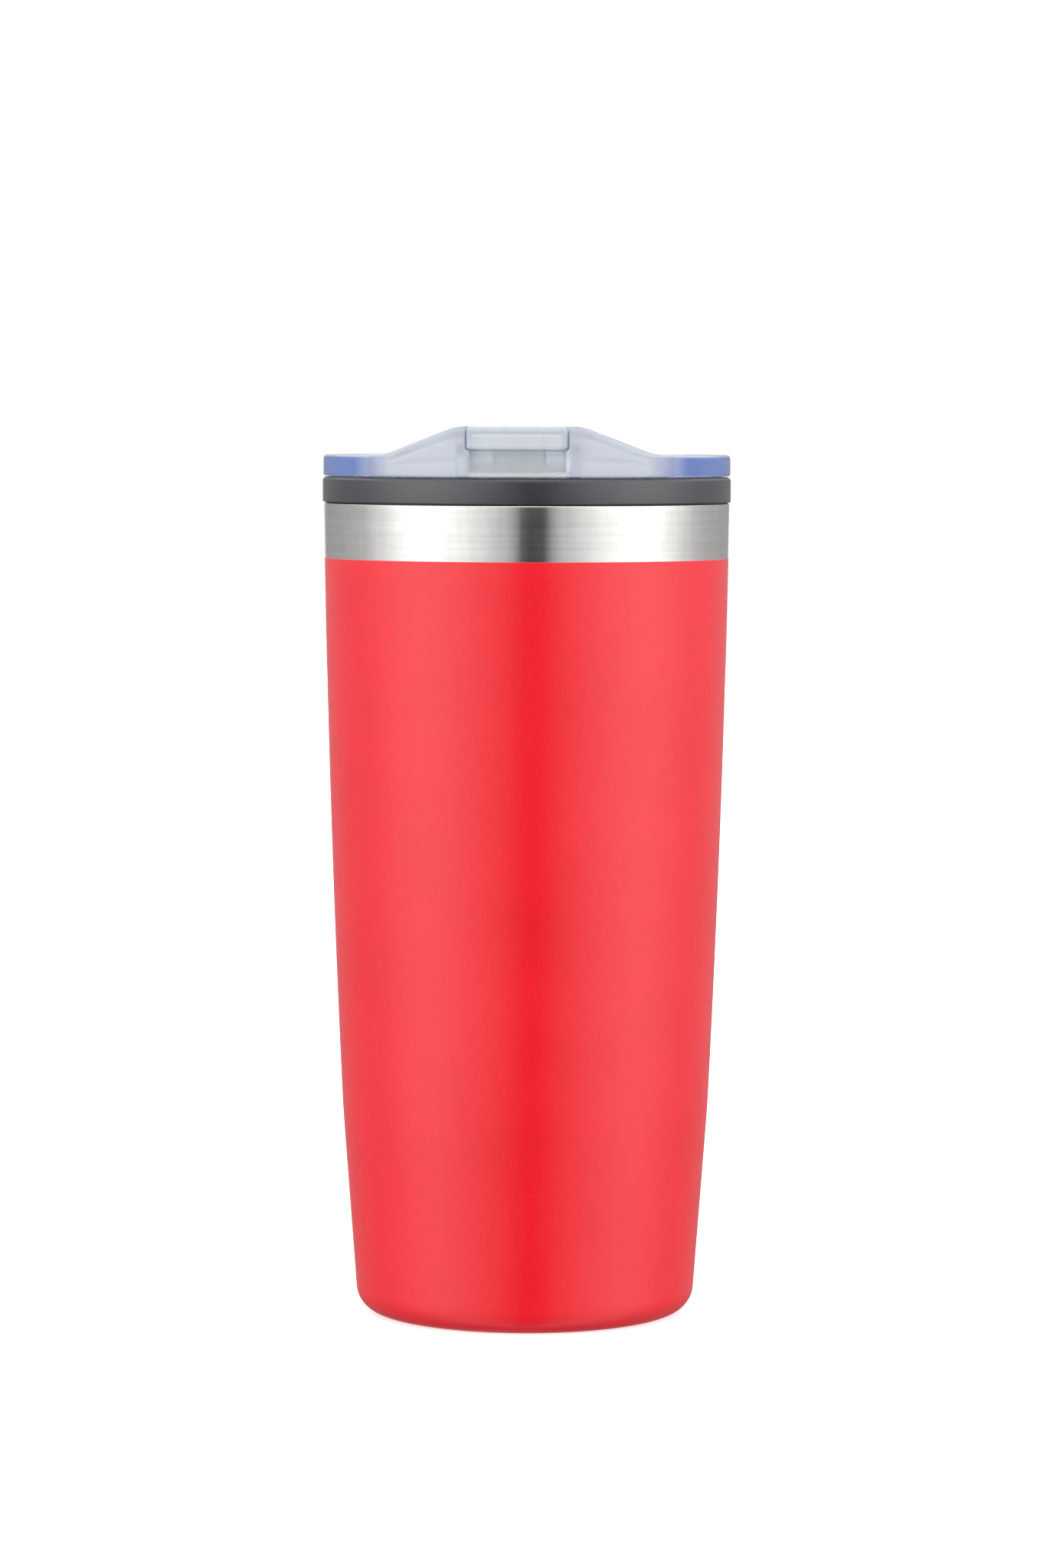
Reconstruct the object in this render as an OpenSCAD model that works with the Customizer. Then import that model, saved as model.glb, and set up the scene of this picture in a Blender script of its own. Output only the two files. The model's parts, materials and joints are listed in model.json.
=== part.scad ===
// Insulated tumbler with a push-on lid and a flip-up drink flap. Millimetres, +Z up.
// The origin is the centre of the foot, on the table. The drink flap's tab faces -Y.

/* [Cup] */
// Radius that the lower wall's cone would reach at the table
foot_r = 35.36; // [34:0.01:36]
// Height where the straight lower wall turns into the bowed upper wall
shoulder_z = 43; // [38:1:50]
// Radius of the steel at that height
shoulder_r = 38.61; // [38:0.01:39]
// Radius of the steel just under the collar
mouth_r = 42.7; // [42.5:0.01:42.8]
// How far the upper wall bows out past a straight line
wall_bow = 0.56; // [0.2:0.01:0.8]
// Rounding between the wall and the foot
corner_r = 5.5; // [4:0.1:7]
// Inner radius of the flat ring that the cup stands on
foot_ring_r = 27.5; // [25:0.1:29]
// Thickness of the steel sheet
sheet_t = 0.5; // [0.4:0.05:0.6]
// Thickness of the powder coat
coat_t = 0.08; // [0.05:0.01:0.15]
// Height where the powder coat ends and bare steel begins
coat_top = 160; // [120:1:165]

/* [Liner] */
// Wall thickness of the plastic liner
liner_t = 1.8; // [1.4:0.1:2.2]
// Air gap between the steel and the liner
air_gap = 2.6; // [2:0.1:3]
// Height of the liner's floor inside
liner_floor = 7.5; // [7:0.1:12]
// Radius of the mouth that the lid pushes into
neck_r = 38.8; // [38.6:0.05:39]
// Lowest and highest point of the collar
collar_z = [171.7, 177];
// Outer radius of the collar
collar_r = 43; // [42.9:0.05:43.2]

/* [Lid] */
// Outer radius of the lid's flange
lid_r = 42.9; // [42.8:0.05:43]
// Lowest and highest point of the flange
flange_z = [177.2, 181.7];
// Highest point of the whole tumbler, the top of the drinking hump
top_z = 187.6; // [186.5:0.1:188.5]
// Half width of the hump's level crest
crest_half = 10.6; // [10.5:0.1:11.5]
// Steepness of the hump's sides, in degrees
hump_slope = 21; // [19:0.5:24]
// Rounding radius where the hump's sides meet its crest and the flange
hump_blend = 10; // [8:0.5:12]
// Where the crest ends towards the back
crest_back = -16; // [-17:0.5:-15]
// Wall thickness of the lid's shell
shell_t = 1.2; // [1:0.1:1.3]
// Thickness of the deck
deck_t = 1.5; // [1.2:0.1:1.6]
// Height of the deck, the floor of the well behind the hump
deck_z = 175.4; // [174.8:0.1:176]
// Outer radius of the plug that enters the cup
plug_r = 38.3; // [38.1:0.05:38.4]
// Lowest point of the plug
plug_z = 167.5; // [165:0.5:170]
// Height of the gasket's groove, from its lower to its upper side
groove_z = [169, 171.6];

/* [Flap] */
// Width of the flap and its tab
flap_w = 20.8; // [20:0.1:20.8]
// Height of the tab's lower edge
tab_z = 182.85; // [182.5:0.05:183.2]
// Gap between the flap and the lid at each side
flap_gap = 0.2; // [0.15:0.05:0.25]
// Place of the hinge axis along Y
hinge_y = -9; // [-9.5:0.1:-8.5]
// Height of the hinge axis
hinge_z = 183.3; // [183.2:0.05:183.4]
// Width of the finger recess under the tab
recess_w = 19.6; // [17:0.1:19.8]
// Radius of the finger recess, a cove centred just in front of the tab's lower edge
recess_r = 5.05; // [4.5:0.05:5.2]
// Length and width of the drink hole
drink_hole = [14, 6];
// Place of the drink hole along Y
drink_y = -30.5; // [-30.7:0.1:-30.3]
// Radius of the vent hole
vent_r = 1.5; // [1.4:0.05:1.6]
// Place of the vent hole along Y
vent_y = -20; // [-21:0.5:-19]

/* [Hidden] */
$fn = 180;
clear = 0.01;

// ---- Cup wall -------------------------------------------------------------------------
wall_slope = (shoulder_r - foot_r) / shoulder_z;
wall_tilt = atan(wall_slope);
lip_z = collar_z[0] - 0.05;
lip_r = 40.8;
liner_inset = sheet_t + air_gap + liner_t;
liner_corner_r = 6;
neck_z = [152, 162];
disc_z = 2.5;

// Radius of the steel's outside at height z: a cone below the shoulder, a shallow bow above it.
function steel_r(z) =
    let (s = (z - shoulder_z) / (collar_z[0] - shoulder_z))
    z <= shoulder_z
        ? foot_r + wall_slope * z
        : shoulder_r + (mouth_r - shoulder_r) * s + 4 * wall_bow * s * (1 - s);

// Points up the wall from the shoulder to height z1, the given distance outside the steel.
function bow_points(out, z1, steps) =
    [for (i = [0:steps]) let (z = shoulder_z + (z1 - shoulder_z) * i / steps) [steel_r(z) + out, z]];

// The same heights for the steel and its coat, so that their facets lie one over the other.
function coated_points(out) = bow_points(out, coat_top, 9);

// Points round a bottom corner of radius r, centred at [x, z], up to where it meets the wall.
function corner_points(x, z, r, start) =
    [for (i = [0:8]) let (a = start + (-wall_tilt - start) * i / 8) [x + r * cos(a), z + r * sin(a)]];

// Centre of a corner of radius r that touches the floor at z0 and the wall inset by inset.
function corner_x(inset, z0, r) = foot_r - inset + wall_slope * (z0 + r) - r / cos(wall_tilt);

function backwards(points) = [for (i = [len(points) - 1:-1:0]) points[i]];

module outer_shell() {
    x = corner_x(0, 0, corner_r);
    lip_round = 0.4;
    outside = concat(
        corner_points(x, corner_r, corner_r, -90),
        coated_points(0),
        [
            [steel_r(lip_z - lip_round), lip_z - lip_round],
            [steel_r(lip_z) - lip_round, lip_z], [lip_r, lip_z]
        ]
    );
    inside = concat(
        corner_points(x, corner_r, corner_r - sheet_t, -90),
        bow_points(-sheet_t, lip_z - sheet_t, 10),
        [[lip_r, lip_z - sheet_t]]
    );
    foot_flange = [
        [foot_ring_r + sheet_t, sheet_t], [foot_ring_r + sheet_t, disc_z + sheet_t],
        [foot_ring_r, disc_z + sheet_t], [foot_ring_r, 0]
    ];
    color("silver") rotate_extrude() polygon(concat(outside, backwards(inside), foot_flange));
}

module base_disc() {
    boss_r = 11.5;
    boss_h = 0.6;
    flange_z0 = 0.8;
    // The raised centre stiffens the disc; its rim is turned down and welded to the foot ring.
    top = disc_z + sheet_t;
    color("gainsboro") rotate_extrude() polygon([
        [0, disc_z + boss_h], [boss_r, disc_z + boss_h], [boss_r + 1, disc_z],
        [foot_ring_r - sheet_t, disc_z], [foot_ring_r - sheet_t, flange_z0], [foot_ring_r, flange_z0],
        [foot_ring_r, top], [boss_r + 1, top], [boss_r, top + boss_h], [0, top + boss_h]
    ]);
}

// The coat stops a little short of the foot's flat ring, so the steel stands on the table.
module paint_coat() {
    x = corner_x(0, 0, corner_r);
    coat_end = -79;
    outside = concat(
        corner_points(x, corner_r, corner_r + coat_t, coat_end), coated_points(coat_t)
    );
    inside = concat(corner_points(x, corner_r, corner_r, coat_end), coated_points(0));
    color([0.88, 0.05, 0.09]) rotate_extrude() polygon(concat(outside, backwards(inside)));
}

// ---- Liner ----------------------------------------------------------------------------
seal_r = [41.3, 42.2];
seal_h = 0.8;
collar_round = 0.8;

module inner_liner() {
    floor_under = liner_floor - liner_t;
    x = corner_x(liner_inset, liner_floor, liner_corner_r);
    corner_z = liner_floor + liner_corner_r;
    inside = concat(
        [[0, liner_floor]],
        corner_points(x, corner_z, liner_corner_r, -90),
        bow_points(-liner_inset, neck_z[0], 8),
        [[neck_r, neck_z[1]], [neck_r, collar_z[1] - 0.6], [neck_r + 0.4, collar_z[1]]]
    );
    outside = concat(
        [[0, floor_under]],
        corner_points(x, corner_z, liner_corner_r + liner_t, -90),
        bow_points(liner_t - liner_inset, neck_z[0], 8),
        [[neck_r + liner_t, neck_z[1]]]
    );
    // A bead under the steel's lip snaps the liner in; the groove above holds the seal.
    bead_r = lip_r + 0.4;
    neck = [
        [neck_r + liner_t, 169.2], [bead_r, 170.2], [bead_r, 170.8], [neck_r + liner_t, 171],
        [neck_r + liner_t, collar_z[0]], [seal_r[0], collar_z[0]],
        [seal_r[0], collar_z[0] + seal_h], [seal_r[1], collar_z[0] + seal_h],
        [seal_r[1], collar_z[0]], [collar_r - 0.3, collar_z[0]], [collar_r, collar_z[0] + 0.3]
    ];
    rounding = [
        for (a = [0:15:90])
            [collar_r - collar_round * (1 - cos(a)), collar_z[1] - collar_round * (1 - sin(a))]
    ];
    color([0.27, 0.28, 0.31])
        rotate_extrude() polygon(concat(outside, neck, rounding, backwards(inside)));
}

module collar_seal() {
    gap = 0.05;
    color([0.9, 0.9, 0.88])
        rotate_extrude()
            translate([seal_r[0] + gap, lip_z])
                square([seal_r[1] - seal_r[0] - 2 * gap, seal_h + 0.05]);
}

// ---- Lid ------------------------------------------------------------------------------
hump_h = top_z - flange_z[1];
blend_drop = hump_blend * (1 - cos(hump_slope));
blend_run = hump_blend * sin(hump_slope);
hump_run = 2 * blend_run + (hump_h - 2 * blend_drop) / tan(hump_slope);
plug_in_r = 36.5;
seat_r = 39.8;
deck_under = deck_z - deck_t;
channel_half = flap_w / 2 + flap_gap;
channel_front_r = plug_r - 1;
channel_ledge_z = flange_z[0] + 0.8;
cheek_half = channel_half + shell_t + 0.1;
recess_y = -lid_r - 0.4;
sill_z = tab_z - 0.1;
sill_y = recess_y + recess_r + shell_t - 0.1;
axle_r = 1.2;
axle_gap = 0.06;
knuckle_r = 2.2;

// One side of the hump, from the end of its crest down to the flange: [distance, height].
function hump_side() = concat(
    [for (i = [0:6]) let (a = hump_slope * i / 6)
        [hump_blend * sin(a), top_z - hump_blend * (1 - cos(a))]],
    [for (i = [6:-1:0]) let (a = hump_slope * i / 6)
        [hump_run - hump_blend * sin(a), flange_z[1] + hump_blend * (1 - cos(a))]]
);

// The hump seen from the front, lowered by drop and narrowed by inset, down to height z0.
module hump_front(drop, inset, z0) {
    right = [for (p = hump_side()) [crest_half - inset + p[0], p[1] - drop]];
    left = [for (p = backwards(right)) [-p[0], p[1]]];
    end = right[len(right) - 1];
    polygon(concat(left, right, [[end[0], z0], [-end[0], z0]]));
}

// The hump seen from the side: level to the crest's end, then sloping down to the flange.
module hump_profile(drop, inset, z0) {
    back = [for (p = hump_side()) [crest_back - inset + p[0], p[1] - drop]];
    end = back[len(back) - 1];
    polygon(concat([[-lid_r - 2, top_z - drop]], back, [[end[0], z0], [-lid_r - 2, z0]]));
}

module across_x(width) { rotate([90, 0, 90]) linear_extrude(width, center = true) children(); }

module hump(drop, inset, z0, radius) {
    intersection() {
        rotate([90, 0, 0]) linear_extrude(2 * lid_r + 4, center = true) hump_front(drop, inset, z0);
        across_x(2 * lid_r) hump_profile(drop, inset, z0);
        translate([0, 0, z0 - 1]) cylinder(h = 20, r = radius);
    }
}

module obround(size, h) {
    reach = (size[0] - size[1]) / 2;
    linear_extrude(h) {
        square([2 * reach, size[1]], center = true);
        for (side = [-1, 1]) translate([side * reach, 0]) circle(d = size[1], $fn = 48);
    }
}

// A block across the channel, from y0 to y1 and z0 to z1.
module slot(half, y0, y1, z0, z1) { translate([-half, y0, z0]) cube([2 * half, y1 - y0, z1 - z0]); }

module lid_round() {
    edge = [
        for (a = [0:15:90])
            [lid_r - 0.8 * (1 - cos(a)), flange_z[1] - 0.8 * (1 - sin(a))]
    ];
    rotate_extrude() polygon(concat(
        [
            [0, deck_under], [plug_in_r, deck_under], [plug_in_r, plug_z + 0.4],
            [plug_in_r + 0.4, plug_z], [plug_r - 0.5, plug_z], [plug_r, plug_z + 0.8],
            [plug_r, groove_z[0]], [plug_r - 1, groove_z[0]], [plug_r - 1, groove_z[1]],
            [plug_r, groove_z[1]], [plug_r, collar_z[1]], [seat_r, collar_z[1]],
            [seat_r, flange_z[0]], [lid_r - 0.3, flange_z[0]], [lid_r, flange_z[0] + 0.3]
        ],
        edge,
        [[plug_in_r + 0.3, flange_z[1]], [plug_in_r, deck_z], [0, deck_z]]
    ));
}

// The hollows under the hump, left and right of the flap's channel, open to the cup.
module cheek_hollows() {
    low = deck_under - 1;
    difference() {
        hump(deck_t, shell_t, low, plug_in_r);
        slot(cheek_half, -lid_r - 1, lid_r, low - 1, top_z);
    }
}

// Everything that is cut out of the middle of the lid for the flap. Below the ledge, the
// channel's front corners stay inside the plug's wall.
module channel() {
    intersection() {
        slot(channel_half, sill_y, lid_r / 2, deck_z, channel_ledge_z + 0.1);
        translate([0, 0, deck_z - 1]) cylinder(h = 10, r = channel_front_r);
    }
    slot(channel_half, sill_y, lid_r / 2, channel_ledge_z, top_z + 1);
    slot(channel_half, -lid_r - 1, sill_y + clear, sill_z, top_z + 1);
    translate([0, recess_y, tab_z]) rotate([0, 90, 0])
        cylinder(h = recess_w, r = recess_r, center = true);
    translate([0, drink_y, deck_under - 1]) obround(drink_hole, deck_t + 2);
    translate([0, vent_y, deck_under - 1]) cylinder(h = deck_t + 2, r = vent_r, $fn = 48);
}

module lid_body() {
    boss_end = channel_half + 2.8;
    color([0.72, 0.78, 0.93, 0.55]) difference() {
        union() {
            difference() {
                union() {
                    lid_round();
                    hump(0, 0, flange_z[0] + 0.2, lid_r);
                    hump(0, 0, deck_under + 0.2, plug_r - 0.4);
                }
                cheek_hollows();
            }
            translate([0, hinge_y, hinge_z]) rotate([0, 90, 0])
                cylinder(h = 2 * boss_end, r = knuckle_r + 0.1, center = true);
        }
        channel();
        translate([0, hinge_y, hinge_z]) rotate([0, 90, 0])
            cylinder(h = 2 * (channel_half + 1.7), r = axle_r + axle_gap, center = true, $fn = 64);
    }
}

// Two lips run round the ring; the space to the mouth's wall is what the lips would squeeze into.
module lid_gasket() {
    inner = plug_r - 1;
    tip = neck_r - 0.15;
    low = groove_z[0] + 0.05;
    high = groove_z[1] - 0.05;
    color([0.93, 0.94, 0.95]) rotate_extrude() polygon([
        [inner, low], [plug_r - 0.1, low], [tip, low + 0.5], [tip, low + 0.8],
        [plug_r - 0.1, low + 1.1], [plug_r - 0.1, high - 1.1], [tip, high - 0.8],
        [tip, high - 0.5], [plug_r - 0.1, high], [inner, high]
    ]);
}

// ---- Flap -----------------------------------------------------------------------------
flap_skin = 1.6;
flap_wall = 1.2;
flap_under = tab_z - 1.75;
pad_z = [deck_z + 0.1, deck_z + 1.3];
plug_gap = 0.4;
plug_depth = 0.9;
peg = [11, 3];
peg_depth = 0.4;
foot_t = 1;

// The flap's outline from the side, filled; the knuckle is added round the hinge.
module flap_side() {
    intersection() {
        hump_profile(0, 0, flap_under);
        union() {
            translate([-lid_r - 1, tab_z]) square([lid_r + 1 + hinge_y, 8]);
            translate([sill_y + 0.35, flap_under]) square([hinge_y - sill_y - 0.35, 8]);
        }
    }
}

// The hollow under the flap's top skin.
module flap_hollow() {
    intersection() {
        across_x(flap_w - 2 * flap_wall) hump_profile(flap_skin, 0.4, flap_under - 1);
        slot(flap_w, -lid_r, hinge_y - knuckle_r - 0.8, flap_under - 1, top_z);
        translate([0, 0, flap_under - 1]) cylinder(h = 10, r = lid_r - 0.2 - flap_skin);
    }
}

module drink_flap() {
    axle_end = channel_half + 1.5;
    roof = top_z - flap_skin + clear;
    color([0.76, 0.82, 0.95, 0.6]) union() {
        difference() {
            intersection() {
                across_x(flap_w) flap_side();
                translate([0, 0, flap_under - 1]) cylinder(h = 10, r = lid_r - 0.2);
            }
            flap_hollow();
        }
        translate([0, hinge_y, hinge_z]) rotate([0, 90, 0])
            cylinder(h = flap_w, r = knuckle_r, center = true, $fn = 96);
        translate([0, hinge_y, hinge_z]) rotate([0, 90, 0])
            cylinder(h = 2 * axle_end, r = axle_r, center = true, $fn = 64);
        // Each stem ends in a foot that presses its stopper down.
        translate([0, drink_y, pad_z[1]]) obround([14, 6], foot_t);
        translate([0, drink_y, deck_z - peg_depth]) obround(peg, roof - deck_z + peg_depth);
        translate([0, vent_y, pad_z[1]]) cylinder(h = foot_t, r = 2.8, $fn = 48);
        translate([0, vent_y, pad_z[1]]) cylinder(h = roof - pad_z[1], r = 1.2, $fn = 48);
    }
}

module flap_stopper() {
    plug = [drink_hole[0] - 2 * plug_gap, drink_hole[1] - 2 * plug_gap];
    color([0.93, 0.94, 0.95]) translate([0, drink_y, 0]) difference() {
        union() {
            translate([0, 0, pad_z[0]]) obround([17, 9], pad_z[1] - pad_z[0]);
            translate([0, 0, deck_z - plug_depth]) obround(plug, plug_depth + 1);
        }
        translate([0, 0, deck_z - peg_depth]) obround(peg, 3);
    }
}

module vent_stopper() {
    color([0.93, 0.94, 0.95]) translate([0, vent_y, 0]) {
        translate([0, 0, pad_z[0]]) cylinder(h = pad_z[1] - pad_z[0], r = 2.8, $fn = 48);
        translate([0, 0, deck_z - plug_depth + 0.3])
            cylinder(h = plug_depth, r = vent_r - 0.6, $fn = 48);
    }
}

outer_shell();
base_disc();
paint_coat();
inner_liner();
collar_seal();
lid_body();
lid_gasket();
drink_flap();
flap_stopper();
vent_stopper();
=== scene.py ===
"""Insulated tumbler with a push-on lid: the visual model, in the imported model's frame.

The shapes are worked out in millimetres and made into meshes in metres. The round pieces are
turned from rounded outlines. The lid, the flap and its stopper are moulded shapes: each is a
signed distance, negative inside, that is meshed where it is zero.
"""

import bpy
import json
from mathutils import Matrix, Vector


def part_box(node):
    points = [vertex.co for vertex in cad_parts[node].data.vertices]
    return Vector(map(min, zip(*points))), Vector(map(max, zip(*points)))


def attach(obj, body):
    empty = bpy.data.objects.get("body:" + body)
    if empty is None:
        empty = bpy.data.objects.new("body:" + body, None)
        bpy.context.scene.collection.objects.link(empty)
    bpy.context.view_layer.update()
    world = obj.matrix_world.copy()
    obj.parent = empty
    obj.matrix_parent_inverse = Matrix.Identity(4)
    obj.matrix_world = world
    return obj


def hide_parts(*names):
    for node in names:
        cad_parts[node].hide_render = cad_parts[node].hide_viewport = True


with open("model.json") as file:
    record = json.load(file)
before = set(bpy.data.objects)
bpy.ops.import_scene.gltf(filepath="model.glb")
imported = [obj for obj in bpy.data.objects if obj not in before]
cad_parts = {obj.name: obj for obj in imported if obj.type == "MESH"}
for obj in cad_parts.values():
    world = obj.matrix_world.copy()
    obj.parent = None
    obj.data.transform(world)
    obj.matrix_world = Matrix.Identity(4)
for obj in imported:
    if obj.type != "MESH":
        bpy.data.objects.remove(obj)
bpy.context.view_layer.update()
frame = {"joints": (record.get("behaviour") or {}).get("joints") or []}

import json
import math

import bpy
import numpy as np
from mathutils import Matrix

MM = 0.001


# ---- Sizes ----------------------------------------------------------------------------------
def box_mm(node):
    """The low and high corners of a CAD node's box, in millimetres."""
    low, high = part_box(node)
    return np.array(low) / MM, np.array(high) / MM


def radius_of(node):
    return float(box_mm(node)[1][:2].max())


LIP_Z = box_mm("outer_shell")[1][2]
COAT_TOP = box_mm("paint_coat")[1][2]
COLLAR_TOP = box_mm("inner_liner")[1][2]
COLLAR_R = radius_of("inner_liner")
LID_R = radius_of("lid_body")
TOP_Z = box_mm("lid_body")[1][2]
PLUG_Z = box_mm("lid_body")[0][2]

# The flap's hinge, the pads of its stoppers and the holes under them
HINGE = next(j for j in frame["joints"] if j["name"] == "flap_hinge")
HINGE_Y, HINGE_Z = HINGE["pos_m"][1] / MM, HINGE["pos_m"][2] / MM
AXLE_R, BORE_R, KNUCKLE_R = 1.2, 1.26, 2.2
STOPPER_PAD, VENT_PAD_R = (17, 9), 2.8
DRINK_Y = box_mm("flap_stopper")[0][1] + STOPPER_PAD[1] / 2
VENT_Y = box_mm("vent_stopper")[0][1] + VENT_PAD_R
DRINK_HOLE, VENT_R = (14, 6), 1.5

# The cup's wall
FOOT_R, SHOULDER_Z, SHOULDER_R, MOUTH_R = 35.36, 43.0, 38.61, 42.7
WALL_BOW = 0.56
SHEET, COAT, CORNER_R = 0.5, 0.08, 5.5
COLLAR_LOW = LIP_Z + 0.05
LIP_R = 40.8
LINER_WALL, LINER_INSET = 1.8, 4.9
FOOT_RING_R = 27.5

# The lid
FLANGE_LOW, FLANGE_TOP, DECK_TOP, DECK_UNDER = 177.2, 181.7, 175.4, 173.9
SEAT_R, PLUG_R, PLUG_IN_R = 39.8, 38.3, 36.5
CREST_HALF, CREST_BACK, HUMP_SLOPE, HUMP_BLEND = 10.6, -16.0, math.radians(21), 10.0
HUMP_WALL, HUMP_SKIN = 1.3, 2.0
GROOVE_R, GROOVE_LOW, GROOVE_TOP = PLUG_R - 1, 169.0, 171.6
CHANNEL_HALF, CHEEK_HALF, CHANNEL_BACK = 10.6, 11.9, 8.0
TAB_Z, SILL_Y = 182.85, -37.15
CHANNEL_FRONT_R, LEDGE_Z = PLUG_R - 1, FLANGE_LOW + 0.8
RECESS_Y, RECESS_R, RECESS_HALF = -43.3, 5.05, 9.8


# ---- Meshes ---------------------------------------------------------------------------------
SHARP_EDGE = math.radians(35)


def mesh_piece(name, points, faces, body, nodes, slot, material, normals=None):
    """A closed mesh from points in millimetres, which stands for CAD nodes on one body."""
    mesh = bpy.data.meshes.new(name)
    mesh.from_pydata((np.asarray(points, float) * MM).tolist(), [], faces)
    mesh.validate()
    mesh.shade_smooth()
    if normals is not None:
        mesh.normals_split_custom_set_from_vertices(normals)
    else:
        mesh.set_sharp_from_angle(angle=SHARP_EDGE)
    piece = bpy.data.objects.new(name, mesh)
    bpy.context.scene.collection.objects.link(piece)
    mesh.materials.append(material)
    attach(piece, body)
    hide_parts(*nodes)
    return piece


def rounded(corners, steps=6):
    """The outline through corners (r, z, rounding radius), its round corners as arcs."""
    outline = []
    count = len(corners)
    for i, (r, z, radius) in enumerate(corners):
        here = np.array([r, z], float)
        to_last = np.array(corners[i - 1][:2], float) - here
        to_next = np.array(corners[(i + 1) % count][:2], float) - here
        room = min(np.linalg.norm(to_last), np.linalg.norm(to_next))
        if radius == 0 or room < 1e-6:
            outline.append(here)
            continue
        to_last /= np.linalg.norm(to_last)
        to_next /= np.linalg.norm(to_next)
        half = math.acos(float(np.clip(to_last @ to_next, -1, 1))) / 2
        radius = min(radius, 0.49 * room * math.tan(half))
        middle = (to_last + to_next) / np.linalg.norm(to_last + to_next)
        centre = here + middle * radius / math.sin(half)
        start = here + to_last * radius / math.tan(half) - centre
        end = here + to_next * radius / math.tan(half) - centre
        turn = math.atan2(start[0] * end[1] - start[1] * end[0], float(start @ end))
        for k in range(steps + 1):
            c, s = math.cos(turn * k / steps), math.sin(turn * k / steps)
            outline.append(centre + [c * start[0] - s * start[1], s * start[0] + c * start[1]])
    return np.array(outline)


def turned(outline, segments=288, centre=(0.0, 0.0)):
    """Points and faces of the closed outline (r, z) turned round a vertical axis."""
    points, rings, faces = [], [], []
    angles = np.arange(segments) * 2 * math.pi / segments
    for r, z in outline:
        if r < 1e-6:
            rings.append([len(points)] * segments)
            points.append((centre[0], centre[1], z))
            continue
        rings.append(list(range(len(points), len(points) + segments)))
        points += [(centre[0] + r * math.cos(a), centre[1] + r * math.sin(a), z) for a in angles]
    for i, ring in enumerate(rings):
        after = rings[(i + 1) % len(rings)]
        if ring[0] == ring[1] and after[0] == after[1]:
            continue
        for k in range(segments):
            n = (k + 1) % segments
            face = [ring[k], ring[n], after[n], after[k]]
            faces.append(list(dict.fromkeys(face)))
    area = sum(a[0] * b[1] - b[0] * a[1] for a, b in zip(outline, np.roll(outline, -1, 0)))
    if area > 0:
        return points, faces
    return points, [face[::-1] for face in faces]


# ---- Signed distances -----------------------------------------------------------------------
def smax(a, b, k):
    """The larger of a and b, with a round blend about k wide where they meet."""
    h = np.clip(0.5 - 0.5 * (b - a) / k, 0, 1)
    return b + (a - b) * h + k * h * (1 - h)


def smin(a, b, k):
    """The smaller of a and b, blended in the same way."""
    return -smax(-a, -b, k)


def outline_distance(outline, step=0.08, margin=3.0):
    """A function of (r, z): the signed distance to a closed outline, read off a fine table."""
    low, high = outline.min(0) - margin, outline.max(0) + margin
    counts = np.ceil((high - low) / step).astype(int) + 1
    r, z = np.meshgrid(*(low[i] + step * np.arange(counts[i]) for i in (0, 1)), indexing="ij")
    nearest = np.full(r.shape, np.inf)
    inside = np.zeros(r.shape, bool)
    for a, b in zip(outline, np.roll(outline, -1, 0)):
        edge = b - a
        length2 = float(edge @ edge)
        if length2 < 1e-12:
            continue
        t = np.clip(((r - a[0]) * edge[0] + (z - a[1]) * edge[1]) / length2, 0, 1)
        nearest = np.minimum(nearest, (r - a[0] - t * edge[0]) ** 2 + (z - a[1] - t * edge[1]) ** 2)
        crosses = (a[1] > z) != (b[1] > z)
        if edge[1] != 0:
            inside ^= crosses & (r < a[0] + (z - a[1]) * edge[0] / edge[1])
    table = np.sqrt(nearest) * np.where(inside, -1, 1)

    def distance(r, z):
        u = np.clip((r - low[0]) / step, 0, counts[0] - 1.001)
        v = np.clip((z - low[1]) / step, 0, counts[1] - 1.001)
        i, j = u.astype(int), v.astype(int)
        u, v = u - i, v - j
        return ((table[i, j] * (1 - u) + table[i + 1, j] * u) * (1 - v)
                + (table[i, j + 1] * (1 - u) + table[i + 1, j + 1] * u) * v)

    return distance


def gradient(distance, p, h=0.03):
    """The slope of the distance at each point, from its values a little ahead and behind."""
    slopes = []
    for axis in range(3):
        ahead, behind = p.copy(), p.copy()
        ahead[:, axis] += h
        behind[:, axis] -= h
        slopes.append((distance(*ahead.T) - distance(*behind.T)) / (2 * h))
    return np.stack(slopes, 1)


CELL_CORNERS = [(i, j, k) for i in (0, 1) for j in (0, 1) for k in (0, 1)]


def mean_crossing(values, cell):
    """Where the surface crosses each cell's edges, on average, in cells from its low corner."""
    at = np.array([values[cell[:, 0] + i, cell[:, 1] + j, cell[:, 2] + k]
                   for i, j, k in CELL_CORNERS])
    total, crossings = np.zeros((len(cell), 3)), np.zeros(len(cell))
    for a in range(8):
        for b in range(a + 1, 8):
            ca, cb = np.array(CELL_CORNERS[a]), np.array(CELL_CORNERS[b])
            if abs(ca - cb).sum() != 1:
                continue
            crosses = (at[a] < 0) != (at[b] < 0)
            t = np.where(crosses, at[a] / np.where(crosses, at[a] - at[b], 1), 0)
            total += crosses[:, None] * (ca + t[:, None] * (cb - ca))
            crossings += crosses
    return total / crossings[:, None]


def onto_surface(distance, start, reach, turns=4):
    """Moves points onto the surface along its slope, by no more than reach on each axis."""
    flattest = 0.05
    p, off = start, distance(*start.T)
    for _ in range(turns):
        slope = gradient(distance, p)
        size2 = np.maximum((slope ** 2).sum(1), flattest)
        moved = np.clip(p - slope * (off / size2)[:, None], start - reach, start + reach)
        moved_off = distance(*moved.T)
        better = np.abs(moved_off) < np.abs(off)
        p, off = np.where(better[:, None], moved, p), np.where(better, moved_off, off)
    return p


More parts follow.
